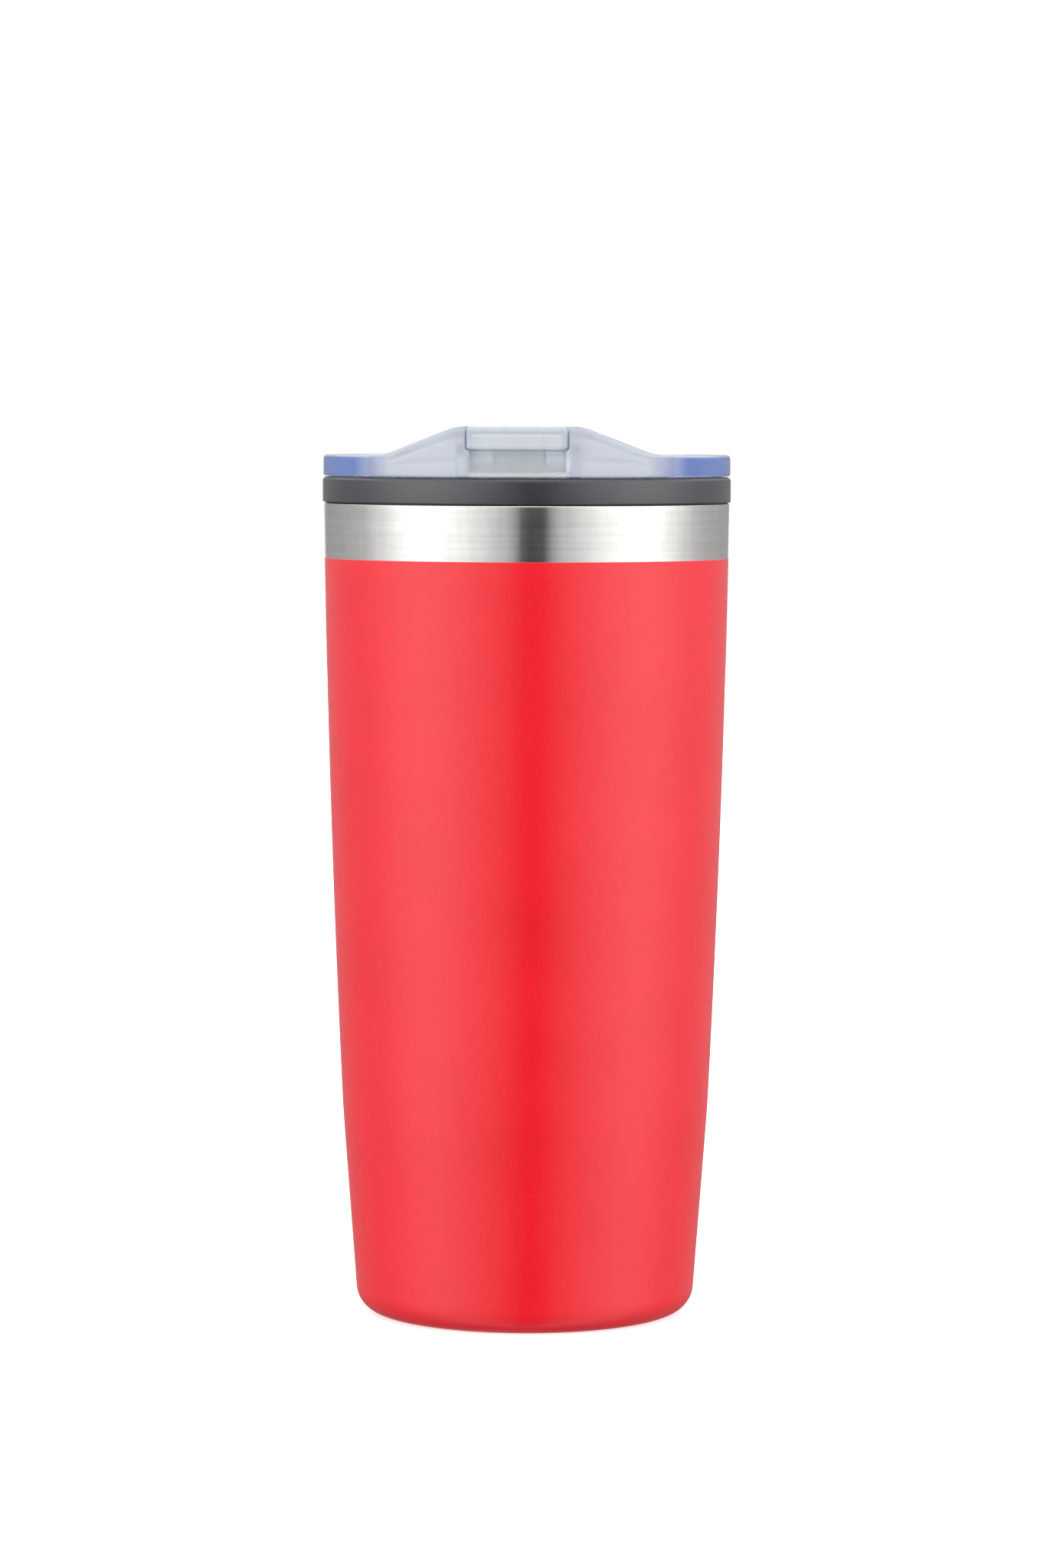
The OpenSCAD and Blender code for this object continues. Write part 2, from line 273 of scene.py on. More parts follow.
def surface_quads(inside, number):
    """A face round each grid edge that passes through the surface, from the numbered cells."""
    quads = []
    for axis in range(3):
        u, v = (axis + 1) % 3, (axis + 2) % 3
        lower, upper = [slice(None)] * 3, [slice(None)] * 3
        lower[axis], upper[axis] = slice(0, -1), slice(1, None)
        change = np.argwhere(inside[tuple(lower)] != inside[tuple(upper)])
        out = inside[tuple(change.T)]
        square = []
        for du, dv in ((-1, -1), (0, -1), (0, 0), (-1, 0)):
            where = change.copy()
            where[:, u] += du
            where[:, v] += dv
            square.append(number[tuple(where.T)])
        square = np.stack(square, 1)
        quads.append(np.where(out[:, None], square, square[:, ::-1]))
    return np.concatenate(quads)


def moulded(distance, low, high, step):
    """Points, faces and normals of the surface where distance(x, y, z) is zero."""
    low = np.array(low, float)
    counts = np.ceil((np.array(high) - low) / step).astype(int) + 1
    axes = [low[i] + step * np.arange(counts[i]) for i in range(3)]
    values = distance(*np.meshgrid(*axes, indexing="ij"))
    inside = values < 0
    cells = tuple(c - 1 for c in counts)
    filled = sum(inside[i:i + cells[0], j:j + cells[1], k:k + cells[2]].astype(np.int8)
                 for i, j, k in CELL_CORNERS)
    mixed = (filled > 0) & (filled < 8)
    cell = np.argwhere(mixed)
    number = np.full(cells, -1, np.int64)
    number[mixed] = np.arange(len(cell))
    start = low + step * (cell + mean_crossing(values, cell))
    points = onto_surface(distance, start, 0.6 * step)
    normals = gradient(distance, points)
    normals /= np.maximum(np.linalg.norm(normals, axis=1), 1e-9)[:, None]
    return points, surface_quads(inside, number).tolist(), normals


# ---- Camera and light -----------------------------------------------------------------------
CAMERA_TURN = math.radians(2.8)
CAMERA_AWAY, CAMERA_HEIGHT = 1.0952, 0.18689
CAMERA_PITCH, CAMERA_ROLL = math.radians(3.911), math.radians(0.146)
CAMERA_LENS, CAMERA_SHIFT = 118.96, -0.0016


def make_camera():
    data = bpy.data.cameras.new("camera")
    data.sensor_fit = "AUTO"
    data.sensor_width = 36
    data.lens = CAMERA_LENS
    data.shift_x = CAMERA_SHIFT
    data.clip_start = 0.05
    camera = bpy.data.objects.new("camera", data)
    bpy.context.scene.collection.objects.link(camera)
    place = Matrix.Rotation(CAMERA_TURN, 4, "Z")
    place @= Matrix.Translation((0, -CAMERA_AWAY, CAMERA_HEIGHT))
    place @= Matrix.Rotation(math.pi / 2 - CAMERA_PITCH, 4, "X")
    camera.matrix_world = place @ Matrix.Rotation(CAMERA_ROLL, 4, "Z")
    bpy.context.scene.camera = camera


class Nodes:
    """Adds and links shader nodes in one tree."""

    def __init__(self, tree):
        self.tree = tree
        tree.nodes.clear()

    def add(self, kind, inputs=(), **settings):
        node = self.tree.nodes.new(kind)
        for key, value in settings.items():
            setattr(node, key, value)
        for key, value in dict(inputs).items():
            if isinstance(value, bpy.types.NodeSocket):
                self.tree.links.new(value, node.inputs[key])
            else:
                node.inputs[key].default_value = value
        return node

    def math(self, operation, a, b=0.0, c=0.0):
        return self.add("ShaderNodeMath", {0: a, 1: b, 2: c}, operation=operation).outputs[0]

    def mix(self, factor, a, b):
        """Mixes two colours; a Mix node's colour sockets are its inputs 6 and 7."""
        node = self.add("ShaderNodeMix", {0: factor, 6: a, 7: b}, data_type="RGBA")
        return node.outputs[2]

    def fade(self, value, ends):
        """Rises from 0 to 1 as the value passes from the first end to the second."""
        node = self.add("ShaderNodeMapRange",
                        {"Value": value, "From Min": ends[0], "From Max": ends[1]})
        return node.outputs[0]

    def ramp(self, fac, stops):
        node = self.add("ShaderNodeValToRGB", {"Fac": fac})
        ramp = node.color_ramp
        while len(ramp.elements) < len(stops):
            ramp.elements.new(0.5)
        for element, (place, value) in zip(ramp.elements, stops):
            element.position = place
            element.color = (*value, 1) if isinstance(value, tuple) else (value, value, value, 1)
        return node.outputs["Color"]


# The studio's brightness by the angle in degrees round the cup from the dark gap, which is
# turned a little from the camera
STUDIO_TURN = math.radians(4.0)
STUDIO_ROUND = [
    (0, 0.02), (7, 0.02), (10, 0.22), (14, 0.30), (22, 0.40), (38, 0.62), (60, 0.85), (76, 0.78),
    (93, 0.50), (107, 0.32), (123, 0.25), (145, 0.20), (166, 0.16), (180, 0.33),
]
# By steepness, 0 straight down, 0.5 level and 1 straight up: how strong the light is, and how
# far the ceiling takes the place of the soft boxes
STUDIO_STEEP = [(0.0, 0.28), (0.35, 0.39), (0.48, 0.667), (0.58, 0.667), (0.68, 1.0)]
CEILING_STEEP = [(0.0, 0.0), (0.62, 0.0), (0.75, 1.0)]
STUDIO_LEVEL, CEILING, BACKDROP = 3.6, 0.42, 1.04


def studio_shader(n, straight):
    """Shows the shader called straight to the camera, and the studio's light to other rays.

    The studio has two soft boxes, a dark gap at the camera and a pale ceiling. Through clear
    plastic the backdrop shows as white as it does to the camera.
    """
    way = n.add("ShaderNodeNewGeometry").outputs["Incoming"]
    x, y, z = n.add("ShaderNodeSeparateXYZ", {0: way}).outputs
    angle = n.math("ARCTAN2", n.math("MULTIPLY", y, -1.0), n.math("MULTIPLY", x, -1.0))
    angle = n.math("ADD", angle, math.pi / 2 - CAMERA_TURN - STUDIO_TURN)
    off = n.math("ABSOLUTE", n.math("WRAP", angle, math.pi, -math.pi))
    stops = [(degrees / 180, level) for degrees, level in STUDIO_ROUND]
    level = n.ramp(n.math("DIVIDE", off, math.pi), stops)
    up = n.math("MULTIPLY_ADD", z, -0.5, 0.5)
    soft = n.mix(n.ramp(up, CEILING_STEEP), level, (CEILING, CEILING, CEILING, 1))
    strength = n.math("MULTIPLY", n.ramp(up, STUDIO_STEEP), STUDIO_LEVEL)
    studio = n.add("ShaderNodeEmission", {"Color": soft, "Strength": strength})
    beyond = n.add("ShaderNodeEmission", {"Color": (1, 1, 1, 1), "Strength": BACKDROP})
    ray = n.add("ShaderNodeLightPath").outputs
    lit = n.add("ShaderNodeMixShader",
                {0: ray["Is Transmission Ray"], 1: studio.outputs[0], 2: beyond.outputs[0]})
    both = n.add("ShaderNodeMixShader", {0: ray["Is Camera Ray"], 1: lit.outputs[0], 2: straight})
    return both.outputs[0]


def make_light():
    """A white studio: soft boxes left and right with a dark gap between them at the camera."""
    world = bpy.data.worlds.new("studio")
    bpy.context.scene.world = world
    world.use_nodes = True
    n = Nodes(world.node_tree)
    white = n.add("ShaderNodeBackground", {"Color": (1, 1, 1, 1), "Strength": BACKDROP})
    n.add("ShaderNodeOutputWorld", {"Surface": studio_shader(n, white.outputs[0])})


def make_floor():
    """White paper, lit evenly; in reflections it shows the studio's light instead."""
    size, paper_white, paper_glow = 3.0, 0.8, 0.6
    mesh = bpy.data.meshes.new("floor")
    mesh.from_pydata([(-size, -size, 0), (size, -size, 0), (size, size, 0), (-size, size, 0)],
                     [], [(0, 1, 2, 3)])
    floor = bpy.data.objects.new("floor", mesh)
    bpy.context.scene.collection.objects.link(floor)
    material = bpy.data.materials.new("floor_white")
    material.use_nodes = True
    n = Nodes(material.node_tree)
    paper = n.add("ShaderNodeBsdfDiffuse", {"Color": (paper_white,) * 3 + (1,)})
    glow = n.add("ShaderNodeEmission", {"Color": (1, 1, 1, 1), "Strength": paper_glow})
    lit = n.add("ShaderNodeAddShader", {0: paper.outputs[0], 1: glow.outputs[0]})
    n.add("ShaderNodeOutputMaterial", {"Surface": studio_shader(n, lit.outputs[0])})
    mesh.materials.append(material)


# ---- Materials ------------------------------------------------------------------------------
def surface(name, **values):
    """A material with one Principled shader, its tree and that shader's sockets."""
    material = bpy.data.materials.new(name)
    material.use_nodes = True
    n = Nodes(material.node_tree)
    shader = n.add("ShaderNodeBsdfPrincipled")
    for key, value in values.items():
        shader.inputs[key.replace("_", " ")].default_value = value
    n.add("ShaderNodeOutputMaterial", {"Surface": shader.outputs[0]})
    return material, n, shader


def round_coordinates(n, along, up):
    """Object coordinates wound round the cup: (distance round x along, height x up)."""
    place = n.add("ShaderNodeSeparateXYZ", {0: n.add("ShaderNodeTexCoord").outputs["Object"]})
    x, y, z = place.outputs
    size = n.math("SQRT", n.math("ADD", n.math("MULTIPLY", x, x), n.math("MULTIPLY", y, y)))
    side = n.math("DIVIDE", x, size)
    front = n.math("DIVIDE", y, size)
    wound = n.add("ShaderNodeCombineXYZ", {
        0: n.math("MULTIPLY", side, along), 1: n.math("MULTIPLY", front, along),
        2: n.math("MULTIPLY", z, up),
    })
    return wound.outputs[0]


def noise(n, vector, scale, detail=2.0, roughness=0.5):
    """Noise about 0.5; in object coordinates the scale is in patches per metre."""
    node = n.add("ShaderNodeTexNoise", {
        "Vector": vector, "Scale": scale, "Detail": detail, "Roughness": roughness,
    })
    return node.outputs["Fac"]


def bump(n, shader, height, distance, strength=1.0):
    """Makes the surface uneven by height times distance, which is in metres."""
    node = n.add("ShaderNodeBump", {"Height": height, "Distance": distance, "Strength": strength})
    n.tree.links.new(node.outputs[0], shader.inputs["Normal"])


def steel_material():
    """Stainless steel brushed round the axis."""
    material, n, shader = surface(
        "brushed_steel", Metallic=1.0, Anisotropic=0.8, Anisotropic_Rotation=0.25
    )
    lines = noise(n, round_coordinates(n, 0.9, 900.0), 1.0, 3.0, 0.7)
    patches = noise(n, round_coordinates(n, 30.0, 120.0), 1.0, 2.0)
    tone = n.math("MULTIPLY_ADD", patches, 0.35, n.math("MULTIPLY", lines, 0.65))
    colour = n.ramp(tone, [(0.3, (0.56, 0.55, 0.535)), (0.7, (0.70, 0.69, 0.672))])
    n.tree.links.new(colour, shader.inputs["Base Color"])
    rough = n.add("ShaderNodeMapRange", {"Value": tone, "To Min": 0.17, "To Max": 0.25})
    n.tree.links.new(rough.outputs[0], shader.inputs["Roughness"])
    tangent = n.add("ShaderNodeTangent", direction_type="RADIAL", axis="Z")
    n.tree.links.new(tangent.outputs[0], shader.inputs["Tangent"])
    bump(n, shader, lines, 0.00001, 0.6)
    return material


def disc_material():
    """The drawn steel of the base disc, duller than the wall."""
    material, n, shader = surface("drawn_steel", Metallic=1.0)
    place = n.add("ShaderNodeTexCoord").outputs["Object"]
    grain = noise(n, place, 900.0, 3.0, 0.6)
    colour = n.ramp(grain, [(0.3, (0.50, 0.50, 0.49)), (0.7, (0.60, 0.60, 0.59))])
    n.tree.links.new(colour, shader.inputs["Base Color"])
    rough = n.add("ShaderNodeMapRange", {"Value": grain, "To Min": 0.34, "To Max": 0.46})
    n.tree.links.new(rough.outputs[0], shader.inputs["Roughness"])
    bump(n, shader, grain, 0.00001)
    return material


def coat_material():
    """Satin red powder coat with a fine orange peel."""
    material, n, shader = surface("red_powder_coat", IOR=1.6)
    place = n.add("ShaderNodeTexCoord").outputs["Object"]
    peel = noise(n, place, 420.0, 2.0, 0.5)
    grit = noise(n, place, 2600.0, 1.0)
    blotch = noise(n, place, 60.0, 2.0)
    colour = n.ramp(blotch, [(0.3, (0.82, 0.004, 0.014)), (0.7, (0.87, 0.006, 0.019))])
    n.tree.links.new(colour, shader.inputs["Base Color"])
    rough = n.add("ShaderNodeMapRange", {"Value": grit, "To Min": 0.25, "To Max": 0.33})
    n.tree.links.new(rough.outputs[0], shader.inputs["Roughness"])
    bump(n, shader, n.math("MULTIPLY_ADD", grit, 0.25, peel), 0.00004)
    return material


def liner_material():
    """Dark grey matt plastic with the fine grain of its mould."""
    material, n, shader = surface("grey_liner_plastic", IOR=1.75)
    place = n.add("ShaderNodeTexCoord").outputs["Object"]
    grain = noise(n, place, 2400.0, 2.0, 0.6)
    colour = n.ramp(grain, [(0.3, (0.016, 0.017, 0.023)), (0.7, (0.027, 0.028, 0.036))])
    n.tree.links.new(colour, shader.inputs["Base Color"])
    rough = n.add("ShaderNodeMapRange", {"Value": grain, "To Min": 0.25, "To Max": 0.34})
    n.tree.links.new(rough.outputs[0], shader.inputs["Roughness"])
    bump(n, shader, grain, 0.00003, 0.7)
    return material


PLASTIC_TINT, PLASTIC_DENSITY = (0.2, 0.33, 0.69, 1), 8.0
# Near-white painted light for the tab and the finger recess
THROUGH_LIGHT_PALE = (0.96, 0.985, 1.0)
# How far a surface faces outward where the painted slant shade (the edge colour) starts to give way
# to the pale outer wall, and where it is all pale wall
FACES_OUT = (0.75, 0.97)
# Where the flange's wall turns deep blue, by distance from the middle plane and by height: the
# plastic's own blue deepened by painted shade where the ring is seen edge-on from the front
EDGE_ON_SHADE_ACROSS, EDGE_ON_SHADE_HEIGHT = (26.5 * MM, 34.5 * MM), ((FLANGE_LOW - 0.8) * MM, FLANGE_LOW * MM)
# The painted light on the tab and the finger recess: half its width, how far back it reaches and
# the softness of its edge
THROUGH_LIGHT_HALF, THROUGH_LIGHT_BACK, THROUGH_LIGHT_EDGE = 10.0 * MM, -35.0 * MM, 0.4 * MM


def clear_material(name, edge, pale, deep):
    """Cloudy clear plastic: pale where it faces outward, and of the edge's colour elsewhere:
    painted shade for the darker look of clear plastic at a slant and on rounded edges.

    The flange's wall is deep blue left and right of the hump: the plastic's own blue, deepened by
    painted shade for the ring seen edge-on from the front.
    The tab and the finger recess are painted near white: painted light for the light that shows
    through them.
    """
    material, n, shader = surface(name, Transmission_Weight=0.6, IOR=1.3)
    where = n.add("ShaderNodeTexCoord").outputs
    level = n.add("ShaderNodeVectorMath", {0: where["Object"], 1: (1, 1, 0)}, operation="MULTIPLY")
    outward = n.add("ShaderNodeVectorMath", {0: level.outputs[0]}, operation="NORMALIZE")
    along = n.add("ShaderNodeVectorMath", {0: outward.outputs[0], 1: where["Normal"]},
                  operation="DOT_PRODUCT")
    # Painted shade: faces that don't face outward take the edge colour, the darker blue that clear
    # plastic shows at a slant
    unshaded_outward = n.fade(along.outputs["Value"], FACES_OUT)
    x, y, z = n.add("ShaderNodeSeparateXYZ", {0: where["Object"]}).outputs
    across = n.math("ABSOLUTE", x)
    # Painted shade: a deep blue over the plastic's own blue on the flange left and right, for the
    # ring seen edge-on from the front
    edge_on_shade = n.math("MULTIPLY", n.fade(across, EDGE_ON_SHADE_ACROSS), n.fade(z, EDGE_ON_SHADE_HEIGHT))
    colour = n.mix(unshaded_outward, edge + (1,), n.mix(edge_on_shade, pale + (1,), deep + (1,)))
    # Painted light: the front strip with the tab and the finger recess is made near white, for the
    # light that shows through them
    beyond = n.math("MAXIMUM", n.math("SUBTRACT", across, THROUGH_LIGHT_HALF),
                    n.math("SUBTRACT", y, THROUGH_LIGHT_BACK))
    colour = n.mix(n.fade(beyond, (-THROUGH_LIGHT_EDGE, THROUGH_LIGHT_EDGE)), THROUGH_LIGHT_PALE + (1,), colour)
    n.tree.links.new(colour, shader.inputs["Base Color"])
    haze = noise(n, where["Object"], 500.0, 2.0)
    rough = n.add("ShaderNodeMapRange", {"Value": haze, "To Min": 0.10, "To Max": 0.145})
    n.tree.links.new(rough.outputs[0], shader.inputs["Roughness"])
    tint = n.add("ShaderNodeVolumeAbsorption",
                 {"Color": PLASTIC_TINT, "Density": PLASTIC_DENSITY})
    output = next(node for node in n.tree.nodes if node.type == "OUTPUT_MATERIAL")
    n.tree.links.new(tint.outputs[0], output.inputs["Volume"])
    return material


def silicone_material():
    """Milky translucent silicone."""
    material, n, shader = surface("silicone", IOR=1.3, Transmission_Weight=0.7)
    place = n.add("ShaderNodeTexCoord").outputs["Object"]
    cloud = noise(n, place, 700.0, 2.0)
    colour = n.ramp(cloud, [(0.3, (0.91, 0.93, 0.95)), (0.7, (0.95, 0.96, 0.98))])
    n.tree.links.new(colour, shader.inputs["Base Color"])
    rough = n.add("ShaderNodeMapRange", {"Value": cloud, "To Min": 0.38, "To Max": 0.5})
    n.tree.links.new(rough.outputs[0], shader.inputs["Roughness"])
    bump(n, shader, cloud, 0.00001)
    return material


# ---- The cup --------------------------------------------------------------------------------
WALL_SLOPE = (SHOULDER_R - FOOT_R) / SHOULDER_Z
WALL_TILT = math.atan(WALL_SLOPE)


def steel_r(z):
    """Radius of the steel at height z: a cone below the shoulder, a shallow bow above it."""
    s = (z - SHOULDER_Z) / (COLLAR_LOW - SHOULDER_Z)
    bow = SHOULDER_R + (MOUTH_R - SHOULDER_R) * s + 4 * WALL_BOW * s * (1 - s)
    shoulder_softness = 0.1
    return float(smin(FOOT_R + WALL_SLOPE * z, bow, shoulder_softness))


def wall_points(out, low, high, steps=36):
    heights = np.linspace(low, high, steps + 1)
    return [(steel_r(z) + out, z, 0) for z in heights]


def corner(floor_z, radius, inset, out=0.0, start=-90.0, steps=12):
    """The bottom corner's arc, moved outward by out, up to where it meets the wall."""
    x = FOOT_R - inset + WALL_SLOPE * (floor_z + radius) - radius / math.cos(WALL_TILT)
    ends = math.radians(start), -WALL_TILT
    turns = [ends[0] + (ends[1] - ends[0]) * k / steps for k in range(steps + 1)]
    return [(x + (radius + out) * math.cos(a), floor_z + radius + (radius + out) * math.sin(a), 0)
            for a in turns]


def make_shell(material):
    """The steel: the wall, the lip turned in under the collar and the ring that it stands on."""
    disc_top, wall_low, wall_top = 3.0, CORNER_R + 1, LIP_Z - 1.5
    outside = (corner(0, CORNER_R, 0) + wall_points(0, wall_low, wall_top)
               + [(steel_r(LIP_Z), LIP_Z, 0.5), (LIP_R, LIP_Z, 0.2), (LIP_R, LIP_Z - SHEET, 0.2)])
    inside = (corner(0, CORNER_R, 0, -SHEET) + wall_points(-SHEET, wall_low, wall_top)
              + [(steel_r(LIP_Z) - SHEET, LIP_Z - SHEET, 0.2)])
    foot = [(FOOT_RING_R + SHEET, SHEET, 0.3), (FOOT_RING_R + SHEET, disc_top, 0.1),
            (FOOT_RING_R, disc_top, 0.1), (FOOT_RING_R, 0, 0.7)]
    outline = rounded(outside + inside[::-1] + foot)
    mesh_piece("steel_shell", *turned(outline), "cup", ["outer_shell"], "brushed_shell", material)


def make_disc(material):
    """The base disc: a skirt inside the foot ring, a pressed step and a raised middle."""
    rim, skirt_low, boss_r, boss_z, floor_z, step_z = FOOT_RING_R, 0.8, 11.5, 3.1, 2.5, 2.75
    outline = rounded([
        (0, boss_z, 0), (boss_r, boss_z, 1.0), (boss_r + 1, floor_z, 1.0),
        (rim - 3.2, floor_z, 0.6), (rim - 2.8, step_z, 0.5), (rim - SHEET, step_z, 0.5),
        (rim - SHEET, skirt_low, 0.2), (rim, skirt_low, 0.2), (rim, step_z + SHEET / 2, 0.5),
        (rim - 3.0, step_z + SHEET, 0.5), (boss_r + 1, floor_z + SHEET, 1.0),
        (boss_r, boss_z + SHEET, 1.0), (0, boss_z + SHEET, 0),
    ])
    mesh_piece("base_pan", *turned(outline), "cup", ["base_disc"], "base_steel", material)


def make_coat(material):
    """The coat: from low on the bottom corner up to a thin rounded edge on the bare steel."""
    corner_start, wall_low, wall_top = -79, CORNER_R + 1, COAT_TOP - 0.25
    outside = corner(0, CORNER_R, 0, COAT, corner_start) + wall_points(COAT, wall_low, wall_top)
    inside = corner(0, CORNER_R, 0, 0, corner_start) + wall_points(0, wall_low, wall_top)
    edge = [(steel_r(COAT_TOP) + COAT * 0.85, COAT_TOP - COAT, 0), (steel_r(COAT_TOP), COAT_TOP, 0)]
    outline = rounded(outside + edge + inside[::-1])
    mesh_piece("powder_coat", *turned(outline), "cup", ["paint_coat"], "red_powder_coat", material)


def make_liner(material):
    """The liner: its inside and outside, the snap bead under the steel's lip and the collar."""
    floor_z, corner_r = 7.5, 6.0
    neck_r, neck_low, taper_low = 38.8, 162.0, 152.0
    wall_low = floor_z + corner_r + 1
    seal_in, seal_out, seal_h = 41.3, 42.2, 0.8
    bead_r, bead_low, bead_z, bead_top = LIP_R + 0.4, 169.2, 170.2, 170.8
    inside = ([(0, floor_z, 0)] + corner(floor_z, corner_r, LINER_INSET)
              + wall_points(-LINER_INSET, wall_low, taper_low - 2, 24)
              + [(steel_r(taper_low) - LINER_INSET, taper_low, 12), (neck_r, neck_low, 12),
                 (neck_r, COLLAR_TOP - 0.7, 0.5), (neck_r + 0.5, COLLAR_TOP, 0.5)])
    out = LINER_WALL
    outside = ([(0, floor_z - out, 0)] + corner(floor_z, corner_r, LINER_INSET, out)
               + wall_points(out - LINER_INSET, wall_low, taper_low - 2, 24)
               + [(steel_r(taper_low) - LINER_INSET + out, taper_low, 12),
                  (neck_r + out, neck_low, 12)])
    collar = [
        (neck_r + out, bead_low, 0.4), (bead_r, bead_z, 0.3), (bead_r, bead_top, 0.1),
        (neck_r + out, bead_top + 0.2, 0.05), (neck_r + out, COLLAR_LOW, 0.2),
        (seal_in, COLLAR_LOW, 0.1), (seal_in, COLLAR_LOW + seal_h, 0.1),
        (seal_out, COLLAR_LOW + seal_h, 0.1), (seal_out, COLLAR_LOW, 0.1),
        (COLLAR_R, COLLAR_LOW, 0.3), (COLLAR_R, COLLAR_TOP, 0.8),
    ]
    outline = rounded(outside + collar + inside[::-1])
    mesh_piece("liner", *turned(outline), "cup", ["inner_liner"], "grey_liner", material)


def make_rings(material):
    """The seal under the collar, and the gasket with its two lips in the plug's groove."""
    low, high = box_mm("collar_seal")[0][2], box_mm("collar_seal")[1][2]
    inner, outer = 41.35, radius_of("collar_seal")
    seal = rounded([(inner, low, 0.2), (outer, low, 0.2), (outer, high, 0.3), (inner, high, 0.3)])
    mesh_piece("seal_ring", *turned(seal), "cup", ["collar_seal"], "seal_silicone", material)
    low, high = box_mm("lid_gasket")[0][2], box_mm("lid_gasket")[1][2]
    inner, waist, tip = GROOVE_R, PLUG_R - 0.1, radius_of("lid_gasket")
    gasket = rounded([
        (inner, low, 0.1), (waist, low, 0.1), (tip, low + 0.45, 0.3), (tip, low + 0.85, 0.3),
        (waist, low + 1.1, 0.2), (waist, high - 1.1, 0.2), (tip, high - 0.85, 0.3),
        (tip, high - 0.45, 0.3), (waist, high, 0.1), (inner, high, 0.1),
    ])
    mesh_piece("gasket_ring", *turned(gasket), "lid", ["lid_gasket"], "gasket_silicone", material)


# ---- The lid --------------------------------------------------------------------------------
SLOPE = math.tan(HUMP_SLOPE)
BLEND = SLOPE * HUMP_BLEND * math.sin(HUMP_SLOPE) / 2
SIDE_TURN = HUMP_BLEND * math.tan(HUMP_SLOPE / 2)
HIP_R = 9.0
HUMP_END = (TOP_Z - FLANGE_TOP) / SLOPE + SIDE_TURN
# A height above the sloping hump times this is about the distance from it
STEEPNESS = 0.95


def hump_offset(x, y):
    """Distance in plan from the hump's level crest."""
    side = np.maximum(np.abs(x) - (CREST_HALF + SIDE_TURN - HIP_R), 0)
    back = np.maximum(y - (CREST_BACK + SIDE_TURN - HIP_R), 0)
    return np.hypot(side, back) - HIP_R


def hump_height(x, y):
    """Height of the drinking hump: a level crest whose sides and back fall at one slope."""
    return smin(TOP_Z + 0 * x, TOP_Z - SLOPE * hump_offset(x, y), BLEND)


def round_body():
    """The lid below its top face, as an outline turned round the axis up to a roof above it."""
    roof = TOP_Z + 8
    return outline_distance(rounded([
        (-2, roof, 0), (LID_R, roof, 0), (LID_R, FLANGE_LOW, 0.35), (SEAT_R, FLANGE_LOW, 0.1),
        (SEAT_R, COLLAR_TOP, 0.1), (PLUG_R, COLLAR_TOP, 0.25), (PLUG_R, GROOVE_TOP, 0.12),
        (GROOVE_R, GROOVE_TOP, 0.12), (GROOVE_R, GROOVE_LOW, 0.12), (PLUG_R, GROOVE_LOW, 0.12),
        (PLUG_R, PLUG_Z + 0.8, 0.4), (PLUG_R - 0.5, PLUG_Z, 0.3), (PLUG_IN_R + 0.4, PLUG_Z, 0.3),
        (PLUG_IN_R, PLUG_Z + 0.5, 0.3), (PLUG_IN_R, DECK_UNDER, 0.8), (-2, DECK_UNDER, 0),
    ]))


def obround(x, y, size):
    """Distance in plan to a slot with round ends, of a length along x and a width."""
    reach = (size[0] - size[1]) / 2
    return np.hypot(np.maximum(np.abs(x) - reach, 0), y) - size[1] / 2


def lid_distance():
    """The lid's signed distance: the turned body and hump, less what is hollow or cut out."""
    body = round_body()
    boss_end, bore_end = CHANNEL_HALF + 2.8, CHANNEL_HALF + 1.7
    deck_above, deck_below = DECK_TOP + 0.8, DECK_UNDER - 1.5

    def distance(x, y, z):
        r, across, offset = np.hypot(x, y), np.abs(x), hump_offset(x, y)
        hump = hump_height(x, y)
        over = (z - smax(FLANGE_TOP + 0 * x, hump, BLEND)) * STEEPNESS
        lid = smax(body(r, z), over, 1.0)
        well = smax(smax(r - PLUG_IN_R, DECK_TOP - z, 1.0), HUMP_END - offset, 0.8)
        lid = smax(lid, -well, 0.8)
        under_skin = smax((z - hump) * STEEPNESS + HUMP_SKIN, offset - HUMP_END + HUMP_WALL, 1.5)
        hollow = smax(smax(r - PLUG_IN_R, CHEEK_HALF - across, 0.8), under_skin, 0.8)
        lid = smax(lid, -smax(hollow, deck_below - z, 0.2), 0.4)
        from_hinge = np.hypot(y - HINGE_Y, z - HINGE_Z)
        lid = smin(lid, smax(from_hinge - KNUCKLE_R - 0.1, across - boss_end, 0.4), 0.5)
        deep = smax(DECK_TOP - z, SILL_Y - y, 0.5)
        deep = smax(deep, np.minimum(r - CHANNEL_FRONT_R, LEDGE_Z - z), 0.3)
        channel = smax(across - CHANNEL_HALF, np.minimum(deep, TAB_Z - 0.1 - z), 0.5)
        lid = smax(lid, -smax(channel, y - CHANNEL_BACK, 0.3), 0.45)
        cove = smax(np.hypot(y - RECESS_Y, z - TAB_Z) - RECESS_R, across - RECESS_HALF, 0.6)
        lid = smax(lid, -cove, 0.55)
        drink = smax(obround(x, y - DRINK_Y, DRINK_HOLE), z - deck_above, 0.2)
        vent = smax(np.hypot(x, y - VENT_Y) - VENT_R, z - deck_above, 0.2)
        lid = smax(lid, -np.minimum(drink, vent), 0.5)
        bore = smax(from_hinge - BORE_R, across - bore_end, 0.1)
        return smax(lid, -bore, 0.1)

    return distance


def make_lid(material):
    step = 0.5
    low = (-LID_R - 1, -LID_R - 1, PLUG_Z - 1)
    high = (LID_R + 1, LID_R + 1, TOP_Z + 1)
    points, faces, normals = moulded(lid_distance(), low, high, step)
    mesh_piece("lid_shell", points, faces, "lid", ["lid_body"], "clear_lid", material, normals)


